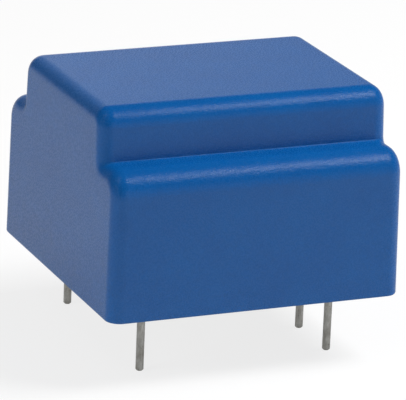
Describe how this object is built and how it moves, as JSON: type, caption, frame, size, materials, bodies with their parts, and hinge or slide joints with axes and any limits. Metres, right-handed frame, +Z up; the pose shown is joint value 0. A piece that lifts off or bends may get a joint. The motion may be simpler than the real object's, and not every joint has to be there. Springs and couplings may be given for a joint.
{
  "type": "pcb transformer",
  "caption": "Miniature potted mains transformer for circuit boards: stepped moulded housing over a wound bobbin and E core, with rows of round solder pins below.",
  "frame": {"origin": "on the plane of the housing's lower rim, in the middle of the square that the corner pins make", "axes": "+X from the primary row of pins to the secondary row, +Y along the rows, +Z up from the board"},
  "size_m": [0.023, 0.0228, 0.0202],
  "materials": {
    "housing": "fine-textured satin moulding",
    "resin": "cast potting compound, satin",
    "bobbin": "glass-filled moulding",
    "copper_wire": "enamelled copper wire",
    "tape": "polyester film tape",
    "core_sheet": "varnished electrical sheet",
    "tinned_pin": "hot-tinned wire",
    "solder": "tin solder"
  },
  "bodies": {
    "root": {"case": "housing", "potting_resin": "resin", "bobbin": "bobbin", "primary_winding": "copper_wire", "secondary_winding_1": "copper_wire", "secondary_winding_2": "copper_wire", "primary_tape": "tape", "interlayer_tape": "tape", "secondary_tape": "tape", "primary_core": "core_sheet", "secondary_core": "core_sheet", "primary_pin_1": "tinned_pin", "primary_pin_2": "tinned_pin", "secondary_pin_1": "tinned_pin", "secondary_pin_2": "tinned_pin", "secondary_pin_3": "tinned_pin", "secondary_pin_4": "tinned_pin", "primary_solder_1": "solder", "primary_solder_2": "solder", "secondary_solder_1": "solder", "secondary_solder_2": "solder", "secondary_solder_3": "solder", "secondary_solder_4": "solder"}
  },
  "joints": []
}
